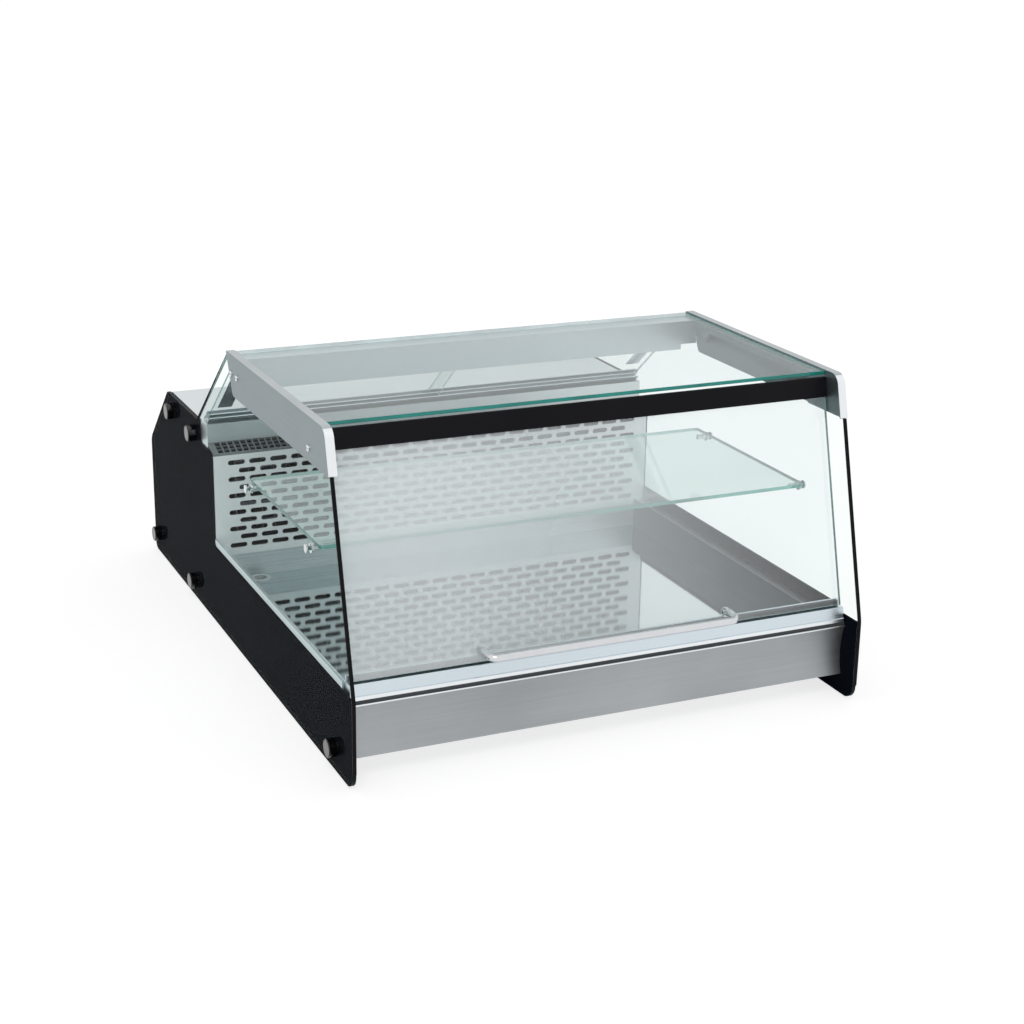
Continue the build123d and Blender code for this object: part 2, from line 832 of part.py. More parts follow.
def condenser_shroud():
    """Plate with a round mouth, and the arms that hold the fan motor."""
    low = base_level + sheet
    shroud = block(condenser_left - 1, condenser_right + 1, condenser_back, condenser_back + 2, low, condenser_high + 4)
    shroud -= rod_y(92.0, condenser_back - 1, condenser_back + 3, condenser_fan_x, condenser_fan_z)
    mouth = rod_y(95.0, condenser_back + 2, condenser_back + 30, condenser_fan_x, condenser_fan_z)
    mouth -= rod_y(92.0, condenser_back + 1, condenser_back + 31, condenser_fan_x, condenser_fan_z)
    shroud += mouth
    for side in (-1, 1):
        x = condenser_fan_x
        arm = block(x - 94, x + 94, condenser_back + 30, condenser_back + 33,
                    condenser_fan_z + side * 20 - 4, condenser_fan_z + side * 20 + 4)
        shroud += arm
    return shroud


def condenser_motor():
    y = condenser_back + 33
    motor = rod_y(32.0, y, y + 42, condenser_fan_x, condenser_fan_z)
    shaft = rod_y(3.0, condenser_back + 8, y, condenser_fan_x, condenser_fan_z)
    return motor + shaft


def condenser_rotor():
    y0 = condenser_back + 8
    hub = rod_y(22.0, y0 - 2, y0 + 18, condenser_fan_x, condenser_fan_z)
    hub -= rod_y(3.0 + running_gap, y0 - 0.2, y0 + 19, condenser_fan_x, condenser_fan_z)
    for k in range(5):
        blade = Rot(0, k * 72, 0) * Pos(53, 0, 0) * Rot(28, 0, 0) * Box(66, 1.6, 34)
        hub += Pos(condenser_fan_x, y0 + 9, condenser_fan_z) * blade
    return hub


def refrigerant_pipes():
    """Discharge, liquid and suction lines."""
    x = compressor_x
    discharge = [
        (x + 30, compressor_y + 20, compressor_level + 158),
        (x + 30, compressor_y + 20, 262),
        (condenser_left - 12, compressor_y + 20, 262),
        (condenser_left - 12, condenser_front + 20, 262),
        (condenser_left - 12, condenser_front + 20, 218.5),
        (condenser_left - 6, condenser_front + 20, 218.5),
    ]
    liquid = [
        (condenser_left - 6, condenser_front + 20, 58.5),
        (condenser_left - 40, condenser_front + 20, 58.5),
        (condenser_left - 40, 262, 58.5),
        (-345, 262, 58.5),
        (-345, 262, 150),
        (-345, 164, 150),
    ]
    suction = [
        (-345, 164, 235),
        (-345, 274, 235),
        (x - 30, 274, 235),
        (x - 30, compressor_y - 20, 235),
        (x - 30, compressor_y - 20, compressor_level + 158),
    ]
    pipes = [
        tube_along(discharge, 3.0, 5.0),
        tube_along(liquid, 3.0, 12.0),
        tube_along(suction, 4.0, 14.0),
    ]
    return Compound(children=[pipe.solid() for pipe in pipes])


# Rear cover frame: x along the case, y up the slope, z out of the cover
cover_top = (tip_y - 3, deck_level - 1)
cover_knee = (half_depth - 3, rear_knee_level - 1)
cover_run = math.hypot(cover_knee[0] - cover_top[0], cover_top[1] - cover_knee[1])
cover_out = ((cover_top[1] - cover_knee[1]) / cover_run, (cover_knee[0] - cover_top[0]) / cover_run)
cover_plane = Plane(
    origin=(0, (cover_top[0] + cover_knee[0]) / 2, (cover_top[1] + cover_knee[1]) / 2),
    x_dir=(-1, 0, 0),
    z_dir=(0, cover_out[0], cover_out[1]),
)
control_x = -150.0
switch_x = [-60.0, -25.0]
key_x = [control_x + 16, control_x + 25]
louvre_x = [-165.0, 165.0]
inlet_x = -300.0
inlet_z = 80.0


def rear_cover():
    """Folded cover of the machine space, with cut-outs for controls and air slots."""
    t = thin_sheet
    low = base_level + sheet
    top_in = (cover_top[0] - 2, cover_top[1] - sheet)
    corners = [
        (cover_top[0], cover_top[1], 0),
        (cover_knee[0], cover_knee[1], 0),
        (cover_knee[0], low, 0),
        (cover_knee[0] - t, low, 0),
        (cover_knee[0] - t, cover_knee[1] - t / 2, 0),
        (top_in[0], top_in[1], 0),
    ]
    cover = side_plate(corners, -casing_half + 0.2, casing_half - 0.2)
    for x in louvre_x:
        for k in range(9):
            z = 50 + 14 * k
            for dx in (-75, -25, 25, 75):
                slot = Plane(origin=(x + dx, half_depth, z), x_dir=(1, 0, 0), z_dir=(0, 1, 0)) * SlotOverall(42, 5)
                cover -= extrude(slot, -12)
    cover -= cover_plane * Pos(control_x, 0, 0) * Box(71, 29, 12)
    for x in switch_x:
        cover -= cover_plane * Pos(x, 0, 0) * Box(13.2, 19.8, 12)
    cover -= block(inlet_x - 14, inlet_x + 14, half_depth - 20, half_depth, inlet_z - 10.5, inlet_z + 10.5)
    return cover


def controller_case():
    """Thermostat body behind the cover, with its front frame."""
    frame = Pos(control_x, 0, 1.5) * Box(78, 35, 3)
    body = Pos(control_x, 0, -18) * Box(70.4, 28.4, 36)
    case = frame + body
    case -= Pos(control_x - 12, 0, 2.4) * Box(38, 22, 1.4)
    for x, y in ((key_x[0], -6), (key_x[1], 6), (key_x[1], -6)):
        case -= Pos(x, y, 1) * Box(7.2, 7.2, 4.0)
    return cover_plane * case


def controller_window():
    return cover_plane * (Pos(control_x - 12, 0, 2.15) * Box(37.8, 21.8, 0.9))


def controller_key(x, y):
    return cover_plane * (Pos(x, y, 2.0) * Box(6.6, 6.6, 3.6))


def switch_bodies():
    bodies = []
    for x in switch_x:
        rim = Pos(x, 0, 1) * Box(15.6, 22, 2) - Pos(x, 0, 1) * Box(10.6, 17, 3)
        well = Pos(x, 0, -10) * Box(12.8, 19.4, 20) - Pos(x, 0, -4) * Box(10.6, 17, 12)
        pin = Pos(x, 0, -3) * Rot(0, 90, 0) * Cylinder(1.2, 12.0)
        bodies.append(cover_plane * (rim + well + pin))
    return Compound(children=[body.solid() for body in bodies])


def switch_rocker(x):
    profile = make_face(
        Polyline((-6.6, 1.4), (0, 0.6), (6.6, 3.2), (6.2, -2.6), (3, -6.5), (-3, -6.5), (-6.2, -2.6), close=True)
    )
    plane = Plane(origin=(x - 4.9, 0, 0), x_dir=(0, 1, 0), z_dir=(1, 0, 0))
    rocker = extrude(plane * profile, 9.8)
    rocker -= Pos(x, 0, -3) * Rot(0, 90, 0) * Cylinder(1.2 + running_gap, 12.0)
    return cover_plane * rocker


def power_inlet():
    y = cover_knee[0]
    inlet = block(inlet_x - 25, inlet_x + 25, y, y + 2, inlet_z - 14, inlet_z + 14)
    inlet += block(inlet_x - 13.7, inlet_x + 13.7, y - 22, y, inlet_z - 10.2, inlet_z + 10.2)
    inlet -= block(inlet_x - 12, inlet_x + 12, y - 16, y + 3, inlet_z - 8, inlet_z + 8)
    for dx in (-6, 0, 6):
        inlet += block(inlet_x + dx - 1, inlet_x + dx + 1, y - 17, y - 3, inlet_z - 2, inlet_z + 2)
    return inlet


def cover_screws():
    screws = []
    for x in (-350.0, 0.0, 350.0):
        screws.append(rod_y(4.0, cover_knee[0], cover_knee[0] + 2, x, 34))
        screws.append(rod_y(4.0, cover_knee[0], cover_knee[0] + 2, x, 186))
    return [screw.solid() for screw in screws]


save_pair(side_glass(), "side_glass")
save(pair(edge_trim()), "edge_trims")
save(pair(enamel_layer()), "side_enamel")
save(pair(casing_side()), "casing_sides")
save_pair(top_frame(), "top_frame")
save(standoff_bolts(), "standoff_bolts")
save(seat_profiles(), "seat_profiles")
save(frame_screws(), "frame_screws")
save(hinge_pins(), "hinge_pins")
save(front_glass(), "front_glass")
save(hinge_profile(), "hinge_profile")
save(handle(), "front_handle")
save(handle_fixings(), "handle_fixings")
save(top_glass(), "top_glass")
save(rear_rail(), "rear_rail")
save(lower_track(), "lower_track")
save(door(inner_door_in, -frame_half, 8), "inner_door_glass")
save(door_pull(inner_door_in, -frame_half + 20), "inner_door_pull")
save(door(outer_door_in, -8, frame_half), "outer_door_glass")
save(door_pull(outer_door_in, frame_half - 20), "outer_door_pull")
save(lamp_channel(), "lamp_channel")
save(lamp_diffuser(), "lamp_diffuser")
save(shelf(), "shelf_glass")
save(shelf_supports(), "shelf_supports")
save(front_panel(), "front_panel")
save(front_sill(), "front_sill")
save(Compound(children=[sill_seal().solid(), sill_gasket().solid()]), "sill_seals")
save(well_tub(), "well_tub")
save(Compound(children=[tub_foam().solid(), deck_foam().solid()]), "insulation")
save(drain_fitting(), "drain_fitting")
save(base_tray(), "base_tray")
save(feet(), "feet")
save(Compound(children=foot_screws() + cover_screws()), "casing_screws")
save(perforated_panel(), "perforated_panel")
save(air_grille(), "air_grille")
save(housing_deck(), "housing_deck")
save(bulkhead_panel(), "bulkhead_panel")
save(evaporator_coil(), "evaporator_coil")
save(fan_plate(), "fan_plate")
save(fan_frames(), "fan_frames")
save(fan_rotor(fan_places[0]), "left_fan_rotor")
save(fan_rotor(fan_places[1]), "right_fan_rotor")
save(compressor(), "compressor")
save(compressor_grommets(), "compressor_grommets")
save(condenser_coil(), "condenser_coil")
save(Compound(children=[condenser_shroud().solid(), condenser_motor().solid()]), "condenser_fan_frame")
save(condenser_rotor(), "condenser_rotor")
save(refrigerant_pipes(), "refrigerant_pipes")
save(rear_cover(), "rear_cover")
save(controller_case(), "controller_case")
save(controller_window(), "controller_window")
for name, x, y in [("set", key_x[0], -6), ("up", key_x[1], 6), ("down", key_x[1], -6)]:
    save(controller_key(x, y), f"key_{name}")
save(switch_bodies(), "switch_bodies")
save(switch_rocker(switch_x[0]), "power_rocker")
save(switch_rocker(switch_x[1]), "lamp_rocker")
save(power_inlet(), "power_inlet")
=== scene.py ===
import bpy
import math
from mathutils import Vector, Matrix


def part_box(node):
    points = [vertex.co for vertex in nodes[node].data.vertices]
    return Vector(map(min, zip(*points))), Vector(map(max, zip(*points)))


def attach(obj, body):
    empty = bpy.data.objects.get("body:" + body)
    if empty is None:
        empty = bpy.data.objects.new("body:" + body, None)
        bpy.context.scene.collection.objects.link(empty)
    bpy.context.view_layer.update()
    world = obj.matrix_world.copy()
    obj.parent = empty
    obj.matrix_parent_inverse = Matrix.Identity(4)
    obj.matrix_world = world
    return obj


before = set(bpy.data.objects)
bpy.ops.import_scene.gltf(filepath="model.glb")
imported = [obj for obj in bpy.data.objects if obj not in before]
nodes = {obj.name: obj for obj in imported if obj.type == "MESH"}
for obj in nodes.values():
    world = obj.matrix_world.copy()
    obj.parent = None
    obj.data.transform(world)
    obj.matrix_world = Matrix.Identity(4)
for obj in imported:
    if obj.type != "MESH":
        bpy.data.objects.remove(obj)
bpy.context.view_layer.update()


# Shading helpers

def newMaterial(name):
    mat = bpy.data.materials.new(name)
    mat.use_nodes = True
    tree = mat.node_tree
    tree.nodes.clear()
    out = tree.nodes.new("ShaderNodeOutputMaterial")
    return mat, tree, out


def addNode(tree, kind, **values):
    node = tree.nodes.new(kind)
    for key, value in values.items():
        if key in node.inputs:
            node.inputs[key].default_value = value
        else:
            setattr(node, key, value)
    return node


def objectCoords(tree, scale=(1, 1, 1)):
    coords = addNode(tree, "ShaderNodeTexCoord")
    mapping = addNode(tree, "ShaderNodeMapping")
    mapping.inputs["Scale"].default_value = scale
    tree.links.new(coords.outputs["Object"], mapping.inputs["Vector"])
    return mapping.outputs["Vector"]


def noiseAt(tree, vector, scale, detail=4.0, rough=0.55):
    noise = addNode(tree, "ShaderNodeTexNoise")
    noise.inputs["Scale"].default_value = scale
    noise.inputs["Detail"].default_value = detail
    noise.inputs["Roughness"].default_value = rough
    tree.links.new(vector, noise.inputs["Vector"])
    return noise.outputs["Fac"]


def rampOf(tree, fac, low, high, start=0.3, end=0.7):
    ramp = addNode(tree, "ShaderNodeValToRGB")
    ramp.color_ramp.elements[0].position = start
    ramp.color_ramp.elements[1].position = end
    ramp.color_ramp.elements[0].color = (*low, 1)
    ramp.color_ramp.elements[1].color = (*high, 1)
    tree.links.new(fac, ramp.inputs["Fac"])
    return ramp.outputs["Color"]


def bumpOf(tree, height, strength, distance):
    bump = addNode(tree, "ShaderNodeBump")
    bump.inputs["Strength"].default_value = strength
    bump.inputs["Distance"].default_value = distance
    tree.links.new(height, bump.inputs["Height"])
    return bump.outputs["Normal"]


def grey(value):
    return (value, value, value)


def spread(colour, amount):
    low = tuple(max(0.0, c * (1 - amount)) for c in colour)
    high = tuple(min(1.0, c * (1 + amount)) for c in colour)
    return low, high


# Values that a finish takes when its own row below doesn't give them
metalUsual = {"metal": 1.0, "spread": 0.12, "bump": 0.12, "cloud": 4.0, "roughLow": 0.82, "roughHigh": 1.2}
paintUsual = {
    "fine": 900.0, "cloud": 7.0, "spread": 0.15, "bump": 0.08, "specular": 0.5, "coat": 0.0,
    "roughLow": 0.85, "roughHigh": 1.2,
}
glassUsual = {"fade": (-1, 1, 1, 1), "tint": 0.01, "cloud": 3.0, "wipe": 9.0, "sheenMottle": 5.0, "thin": 0.85}
edgeUsual = {"specular": 0.5, "spread": 0.25, "streak": (14, 14, 14), "fine": 1500.0, "bump": 0.06}
bumpDepth = {"metal": 0.0002, "paint": 0.0002, "edge": 0.0001}


def metalFinish(name, row):
    # Metal with a grain along row["grain"], soft blotches and fine scratches
    spec = {**metalUsual, **row}
    mat, tree, out = newMaterial(name)
    shader = addNode(tree, "ShaderNodeBsdfPrincipled")
    shader.inputs["Metallic"].default_value = spec["metal"]
    grain = objectCoords(tree, spec["grain"])
    lines = noiseAt(tree, grain, 1.0, 5.0, 0.6)
    cloud = noiseAt(tree, objectCoords(tree), spec["cloud"], 3.0)
    low, high = spread(spec["colour"], spec["spread"])
    mix = addNode(tree, "ShaderNodeMath", operation="ADD")
    tree.links.new(lines, mix.inputs[0])
    tree.links.new(cloud, mix.inputs[1])
    half = addNode(tree, "ShaderNodeMath", operation="MULTIPLY")
    half.inputs[1].default_value = 0.5
    tree.links.new(mix.outputs[0], half.inputs[0])
    tree.links.new(rampOf(tree, half.outputs[0], low, high), shader.inputs["Base Color"])
    lowRough = spec["rough"] * spec["roughLow"]
    highRough = spec["rough"] * spec["roughHigh"]
    tree.links.new(rampOf(tree, lines, grey(lowRough), grey(highRough)), shader.inputs["Roughness"])
    tree.links.new(bumpOf(tree, lines, spec["bump"], bumpDepth["metal"]), shader.inputs["Normal"])
    tree.links.new(shader.outputs[0], out.inputs["Surface"])
    return mat


def paintFinish(name, row):
    # Paint, plastic or rubber with a faint texture and uneven gloss
    spec = {**paintUsual, **row}
    mat, tree, out = newMaterial(name)
    shader = addNode(tree, "ShaderNodeBsdfPrincipled")
    coords = objectCoords(tree)
    fine = noiseAt(tree, coords, spec["fine"], 2.0)
    cloud = noiseAt(tree, coords, spec["cloud"], 4.0)
    low, high = spread(spec["colour"], spec["spread"])
    tree.links.new(rampOf(tree, cloud, low, high), shader.inputs["Base Color"])
    lowRough = spec["rough"] * spec["roughLow"]
    highRough = min(1.0, spec["rough"] * spec["roughHigh"])
    tree.links.new(rampOf(tree, cloud, grey(lowRough), grey(highRough)), shader.inputs["Roughness"])
    shader.inputs["Specular IOR Level"].default_value = spec["specular"]
    shader.inputs["Coat Weight"].default_value = spec["coat"]
    tree.links.new(bumpOf(tree, fine, spec["bump"], bumpDepth["paint"]), shader.inputs["Normal"])
    tree.links.new(shader.outputs[0], out.inputs["Surface"])
    return mat


def glassFinish(name, row):
    # Clear pane: light goes straight through, and the outer face of each side reflects
    spec = {**glassUsual, **row}
    mat, tree, out = newMaterial(name)
    clear = addNode(tree, "ShaderNodeBsdfTransparent")
    cloud = noiseAt(tree, objectCoords(tree), spec["cloud"], 2.0)
    low, high = spread(spec["colour"], spec["tint"])
    tree.links.new(rampOf(tree, cloud, low, high), clear.inputs["Color"])
    shine = addNode(tree, "ShaderNodeBsdfGlossy")
    smear = noiseAt(tree, objectCoords(tree, (1, 1, 3)), spec["wipe"], 5.0, 0.6)
    tree.links.new(rampOf(tree, smear, grey(0.0), grey(spec["smear"]), 0.5, 0.8), shine.inputs["Roughness"])
    fresnel = addNode(tree, "ShaderNodeFresnel", IOR=spec["ior"])
    faces = addNode(tree, "ShaderNodeNewGeometry")
    outside = addNode(tree, "ShaderNodeMath", operation="SUBTRACT")
    outside.inputs[0].default_value = 1.0
    tree.links.new(faces.outputs["Backfacing"], outside.inputs[1])
    amount = addNode(tree, "ShaderNodeMath", operation="MULTIPLY")
    tree.links.new(fresnel.outputs[0], amount.inputs[0])
    tree.links.new(outside.outputs[0], amount.inputs[1])
    coated = addNode(tree, "ShaderNodeMath", operation="MULTIPLY")
    coated.inputs[1].default_value = spec["mirror"]
    tree.links.new(amount.outputs[0], coated.inputs[0])
    mix = addNode(tree, "ShaderNodeMixShader")
    tree.links.new(coated.outputs[0], mix.inputs[0])
    tree.links.new(clear.outputs[0], mix.inputs[1])
    tree.links.new(shine.outputs[0], mix.inputs[2])
    # Painted sheen: a pale diffuse layer over the pane that stands in for its whitish reflection, mottled by
    # noise and thinner from "From Min" to "From Max" along X
    paintedSheen = addNode(tree, "ShaderNodeBsdfDiffuse")
    paintedSheen.inputs["Color"].default_value = (*spec["sheenColour"], 1)
    sheenMix = addNode(tree, "ShaderNodeMixShader")
    sheenMottle = noiseAt(tree, objectCoords(tree), spec["sheenMottle"], 3.0)
    sheenMost = spec["paintedSheen"]
    across = addNode(tree, "ShaderNodeSeparateXYZ")
    tree.links.new(objectCoords(tree), across.inputs[0])
    fade = addNode(tree, "ShaderNodeMapRange")
    for socket, value in zip(("From Min", "From Max", "To Min", "To Max"), spec["fade"]):
        fade.inputs[socket].default_value = value
    tree.links.new(across.outputs["X"], fade.inputs["Value"])
    thin = addNode(tree, "ShaderNodeMath", operation="MULTIPLY")
    tree.links.new(rampOf(tree, sheenMottle, grey(sheenMost * spec["thin"]), grey(sheenMost)), thin.inputs[0])
    tree.links.new(fade.outputs[0], thin.inputs[1])
    tree.links.new(thin.outputs[0], sheenMix.inputs[0])
    tree.links.new(mix.outputs[0], sheenMix.inputs[1])
    tree.links.new(paintedSheen.outputs[0], sheenMix.inputs[2])
    tree.links.new(sheenMix.outputs[0], out.inputs["Surface"])
    return mat


def edgeFinish(name, row):
    # Ground edge of a pane, tinted by the length of glass behind it
    spec = {**edgeUsual, **row}
    mat, tree, out = newMaterial(name)
    shader = addNode(tree, "ShaderNodeBsdfPrincipled")
    streaks = noiseAt(tree, objectCoords(tree, spec["streak"]), 1.0, 4.0)
    low, high = spread(spec["colour"], spec["spread"])
    tree.links.new(rampOf(tree, streaks, low, high), shader.inputs["Base Color"])
    shader.inputs["Roughness"].default_value = spec["rough"]
    shader.inputs["Transmission Weight"].default_value = spec["through"]
    shader.inputs["Specular IOR Level"].default_value = spec["specular"]
    fine = noiseAt(tree, objectCoords(tree), spec["fine"], 2.0)
    tree.links.new(bumpOf(tree, fine, spec["bump"], bumpDepth["edge"]), shader.inputs["Normal"])
    tree.links.new(shader.outputs[0], out.inputs["Surface"])
    return mat


# Finishes, by look. Grain is the noise scale along X, Y and Z in the row's metres.
fineX = (5, 2200, 2200)
fineY = (2200, 5, 2200)
wallGrain = (2200, 6, 2200)
evenGrain = (60, 60, 60)
metals = {
    "frontSteel": {"colour": (0.36, 0.38, 0.395), "rough": 0.42,
                   "grain": (6, 1400, 1400), "bump": 0.2, "spread": 0.18},
    "sillAluminium": {"colour": (0.62, 0.69, 0.74), "rough": 0.3,
                      "grain": fineX, "bump": 0.05, "spread": 0.06},
    "frameAluminium": {"colour": (0.245, 0.29, 0.305), "rough": 0.42,
                       "grain": fineY, "bump": 0.08, "spread": 0.08},
    # Painted light: a lighter copy of the frame aluminium for the frames' upward faces
    "litTopAluminium": {"colour": (0.42, 0.455, 0.47), "rough": 0.36,
                        "grain": fineY, "bump": 0.1, "spread": 0.2},
    # Painted highlight: a bright copy of the aluminium and steel for the front edges, rims and hem that catch
    # the light
    "paintedHighlightAluminium": {"colour": (0.80, 0.83, 0.85), "rough": 0.3,
                      "grain": fineY, "bump": 0.05, "spread": 0.05},
    "railAluminium": {"colour": (0.58, 0.63, 0.66), "rough": 0.36,
                      "grain": fineX, "bump": 0.06, "spread": 0.06},
    # Painted shade: a dark copy of the well steel for the tub's side walls, standing in for the dark
    # surroundings they reflect
    "shadedWallSteel": {"colour": (0.085, 0.105, 0.115), "rough": 0.38, "grain": wallGrain, "bump": 0.08},
    "rearSteel": {"colour": (0.55, 0.60, 0.62), "rough": 0.3, "metal": 0.6, "grain": fineX, "bump": 0.08},
    "wellSteel": {"colour": (0.62, 0.67, 0.685), "rough": 0.05,
                  "grain": (9, 500, 500), "bump": 0.01, "spread": 0.05},
    "panelSteel": {"colour": (0.84, 0.87, 0.88), "rough": 0.38, "metal": 0.25,
                   "grain": fineX, "bump": 0.06, "spread": 0.05},
    "deckSteel": {"colour": (0.62, 0.66, 0.67), "rough": 0.34, "grain": fineX, "bump": 0.05, "spread": 0.06},
    "chrome": {"colour": (0.66, 0.67, 0.69), "rough": 0.14, "grain": evenGrain, "bump": 0.02, "spread": 0.06},
    "buttonSteel": {"colour": (0.17, 0.168, 0.165), "rough": 0.32,
                    "grain": (60, 1500, 300), "bump": 0.2, "spread": 0.35},
    "darkChrome": {"colour": (0.06, 0.058, 0.057), "rough": 0.16, "grain": evenGrain, "bump": 0.02},
    "zinc": {"colour": (0.48, 0.49, 0.50), "rough": 0.42, "grain": (40, 40, 40), "spread": 0.2},
    # Fins darkened well below bare aluminium as painted shade for the dark chamber behind the perforated
    # panel; the condenser shares the colour
    "finStock": {"colour": (0.30, 0.31, 0.32), "rough": 0.45, "grain": (50, 50, 50)},
    "copper": {"colour": (0.70, 0.36, 0.22), "rough": 0.34, "grain": (30, 30, 30), "spread": 0.25},
}
paints = {
    "enamelBlack": {"colour": (0.0045, 0.006, 0.0095), "rough": 0.9, "bump": 0.0, "specular": 0.0},
    "trimBlack": {"colour": (0.005, 0.005, 0.006), "rough": 0.45, "specular": 0.08},
    "profileBlack": {"colour": (0.006, 0.006, 0.0075), "rough": 0.4, "bump": 0.03, "specular": 0.08},
    "casingGrey": {"colour": (0.02, 0.022, 0.025), "rough": 0.5,
                   "fine": 1200.0, "bump": 0.1, "specular": 0.2},
    "foam": {"colour": (0.72, 0.69, 0.58), "rough": 0.9, "fine": 300.0, "bump": 0.4},
    "rubber": {"colour": (0.018, 0.018, 0.018), "rough": 0.75},
    "sealGrey": {"colour": (0.045, 0.052, 0.058), "rough": 0.6},
    "compressorBlack": {"colour": (0.012, 0.012, 0.012), "rough": 0.25, "coat": 0.4},
    "mouldedBlack": {"colour": (0.02, 0.02, 0.022), "rough": 0.5},
    "windowRed": {"colour": (0.05, 0.006, 0.006), "rough": 0.1},
    "lampOpal": {"colour": (0.85, 0.86, 0.84), "rough": 0.4},
    "drainGrey": {"colour": (0.52, 0.56, 0.57), "rough": 0.4},
    # Painted shade: near black so that the chamber behind the perforated slots reads dark
    "chamberShadeGrey": {"colour": (0.03, 0.033, 0.036), "rough": 0.5},
    "grilleGrey": {"colour": (0.16, 0.18, 0.19), "rough": 0.5},
}
# Each pane's pale diffuse layer is a painted sheen that stands in for its whitish reflection; on the front
# glass it fades along X
glasses = {
    "sideGlass": {"colour": (0.965, 0.985, 0.98), "ior": 1.3, "mirror": 0.08, "smear": 0.02,
                  "paintedSheen": 0.002, "sheenColour": (0.8, 0.9, 0.9)},
    "frontGlass": {"colour": (0.97, 0.985, 0.985), "ior": 1.45, "mirror": 1.6, "smear": 0.02, "paintedSheen": 0.36,
                   "sheenColour": (0.90, 0.94, 0.96), "fade": (-0.2, 0.33, 1.0, 0.12)},
    "topGlass": {"colour": (0.955, 0.98, 0.98), "ior": 1.4, "mirror": 0.8, "smear": 0.03,
                 "paintedSheen": 0.06, "sheenColour": (0.85, 0.92, 0.94)},
    "doorGlass": {"colour": (0.975, 0.988, 0.985), "ior": 1.3, "mirror": 0.8, "smear": 0.02,
                  "paintedSheen": 0.02, "sheenColour": (0.8, 0.9, 0.9)},
    "shelfGlass": {"colour": (0.90, 0.96, 0.945), "ior": 1.5, "mirror": 1.0, "smear": 0.02,
                   "paintedSheen": 0.16, "sheenColour": (0.86, 0.94, 0.93)},
}
edges = {
    "tealEdge": {"colour": (0.0, 0.20, 0.165), "rough": 0.12, "through": 0.15},
    # Painted highlight: the top glass's rear edge is pale where its front edge is teal
    "backEdgeHighlight": {"colour": (0.62, 0.74, 0.74), "rough": 0.25, "through": 0.4},
    "darkEdge": {"colour": (0.005, 0.008, 0.009), "rough": 0.5, "through": 0.0, "specular": 0.1},
    "shelfSide": {"colour": (0.07, 0.19, 0.18), "rough": 0.2, "through": 0.1},
    "shelfEdge": {"colour": (0.13, 0.42, 0.36), "rough": 0.2, "through": 0.4},
    "paleEdge": {"colour": (0.30, 0.52, 0.50), "rough": 0.2, "through": 0.5},
    "paneEdge": {"colour": (0.10, 0.24, 0.23), "rough": 0.2, "through": 0.3},
}
looks = {}
for key, spec in metals.items():
    looks[key] = metalFinish(key, spec)
for key, spec in paints.items():
    looks[key] = paintFinish(key, spec)
for key, spec in glasses.items():
    looks[key] = glassFinish(key, spec)
for key, spec in edges.items():
    looks[key] = edgeFinish(key, spec)
print("finishes ready", len(looks))

# Which finish each piece of the frame has
finishOf = {
    "edge_trims": "trimBlack", "side_enamel": "enamelBlack", "casing_sides": "casingGrey",
    "left_top_frame": "frameAluminium", "right_top_frame": "frameAluminium", "standoff_bolts": "buttonSteel",
    "seat_profiles": "railAluminium", "frame_screws": "chrome", "hinge_pins": "zinc",
    "hinge_profile": "profileBlack", "front_handle": "chrome", "handle_fixings": "chrome",
    "rear_rail": "railAluminium", "lower_track": "railAluminium", "inner_door_pull": "sillAluminium",
    "outer_door_pull": "sillAluminium", "lamp_channel": "railAluminium", "lamp_diffuser": "lampOpal",
    "shelf_supports": "chrome", "front_panel": "frontSteel", "front_sill": "sillAluminium",
    "sill_seals": "sealGrey", "well_tub": "wellSteel", "insulation": "foam", "drain_fitting": "drainGrey",
    "base_tray": "zinc", "feet": "rubber", "casing_screws": "zinc", "perforated_panel": "panelSteel",
    # Painted shade: the bulkhead and fan plate are near black and the coils' fins are darkened, so the
    # chamber behind the slots reads dark
    "air_grille": "grilleGrey", "housing_deck": "deckSteel", "bulkhead_panel": "chamberShadeGrey",
    "evaporator_coil": "finStock", "fan_plate": "chamberShadeGrey", "fan_frames": "mouldedBlack",
    "left_fan_rotor": "mouldedBlack", "right_fan_rotor": "mouldedBlack", "compressor": "compressorBlack",
    "compressor_grommets": "rubber", "condenser_coil": "finStock", "condenser_fan_frame": "mouldedBlack",
    "condenser_rotor": "finStock", "refrigerant_pipes": "copper", "rear_cover": "casingGrey",
    "controller_case": "mouldedBlack", "controller_window": "windowRed", "key_set": "mouldedBlack",
    "key_up": "mouldedBlack", "key_down": "mouldedBlack", "switch_bodies": "mouldedBlack",
    "power_rocker": "mouldedBlack", "lamp_rocker": "mouldedBlack", "power_inlet": "mouldedBlack",
}
# Panes: face finish, edge finish
paneOf = {
    "left_side_glass": ("sideGlass", "paleEdge"),
    "right_side_glass": ("sideGlass", "paleEdge"),
    "front_glass": ("frontGlass", "paneEdge"),
    "top_glass": ("topGlass", "tealEdge"),
    "inner_door_glass": ("doorGlass", "paleEdge"),
    "outer_door_glass": ("doorGlass", "paleEdge"),
    "shelf_glass": ("shelfGlass", "shelfEdge"),
}


def smoothed(obj, degrees=32):
    obj.data.shade_smooth()
    obj.data.set_sharp_from_angle(angle=math.radians(degrees))


def dressNode(name, look):
    obj = nodes[name]
    obj.data.materials.clear()
    obj.data.materials.append(looks[look])
    for poly in obj.data.polygons:
        poly.material_index = 0
    smoothed(obj)


def dressPane(name, face, edge):
    # The two broad faces of a pane are clear, and all its narrow faces are edge
    obj = nodes[name]
    mesh = obj.data
    mesh.materials.clear()
    mesh.materials.append(looks[face])
    mesh.materials.append(looks[edge])
    broad = max(mesh.polygons, key=lambda p: p.area).normal.copy()
    for poly in mesh.polygons:
        poly.material_index = 0 if abs(poly.normal.dot(broad)) > 0.9 else 1
    smoothed(obj)


